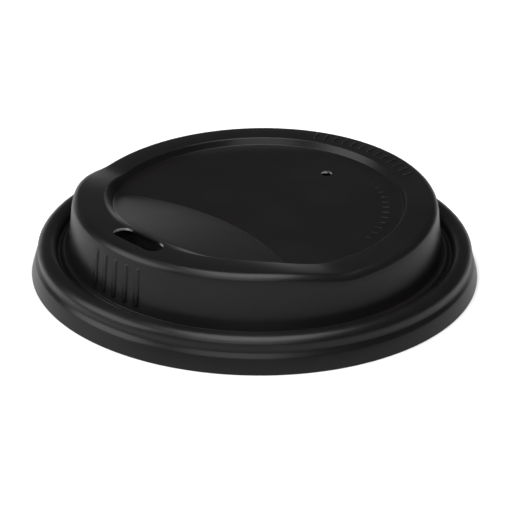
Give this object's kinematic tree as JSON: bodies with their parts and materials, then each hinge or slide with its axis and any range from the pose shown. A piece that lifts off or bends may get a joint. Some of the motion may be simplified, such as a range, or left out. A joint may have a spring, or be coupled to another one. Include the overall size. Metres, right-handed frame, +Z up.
{
  "type": "coffee cup lid",
  "caption": "Round black sip-through lid that snaps over the rolled rim of a takeaway cup, with a raised mouthpiece, sloping recess, drinking slot and vent.",
  "frame": {"origin": "middle of the bottom edge that the lid stands on", "axes": "+Z up, out of the top of the lid; -Y towards the drinking slot, +Y towards the vent hole; X across"},
  "size_m": [0.093, 0.093, 0.0164],
  "materials": {
    "black_plastic": "satin black thermoformed sheet"
  },
  "bodies": {
    "root": {"lid": "black_plastic"}
  },
  "joints": []
}
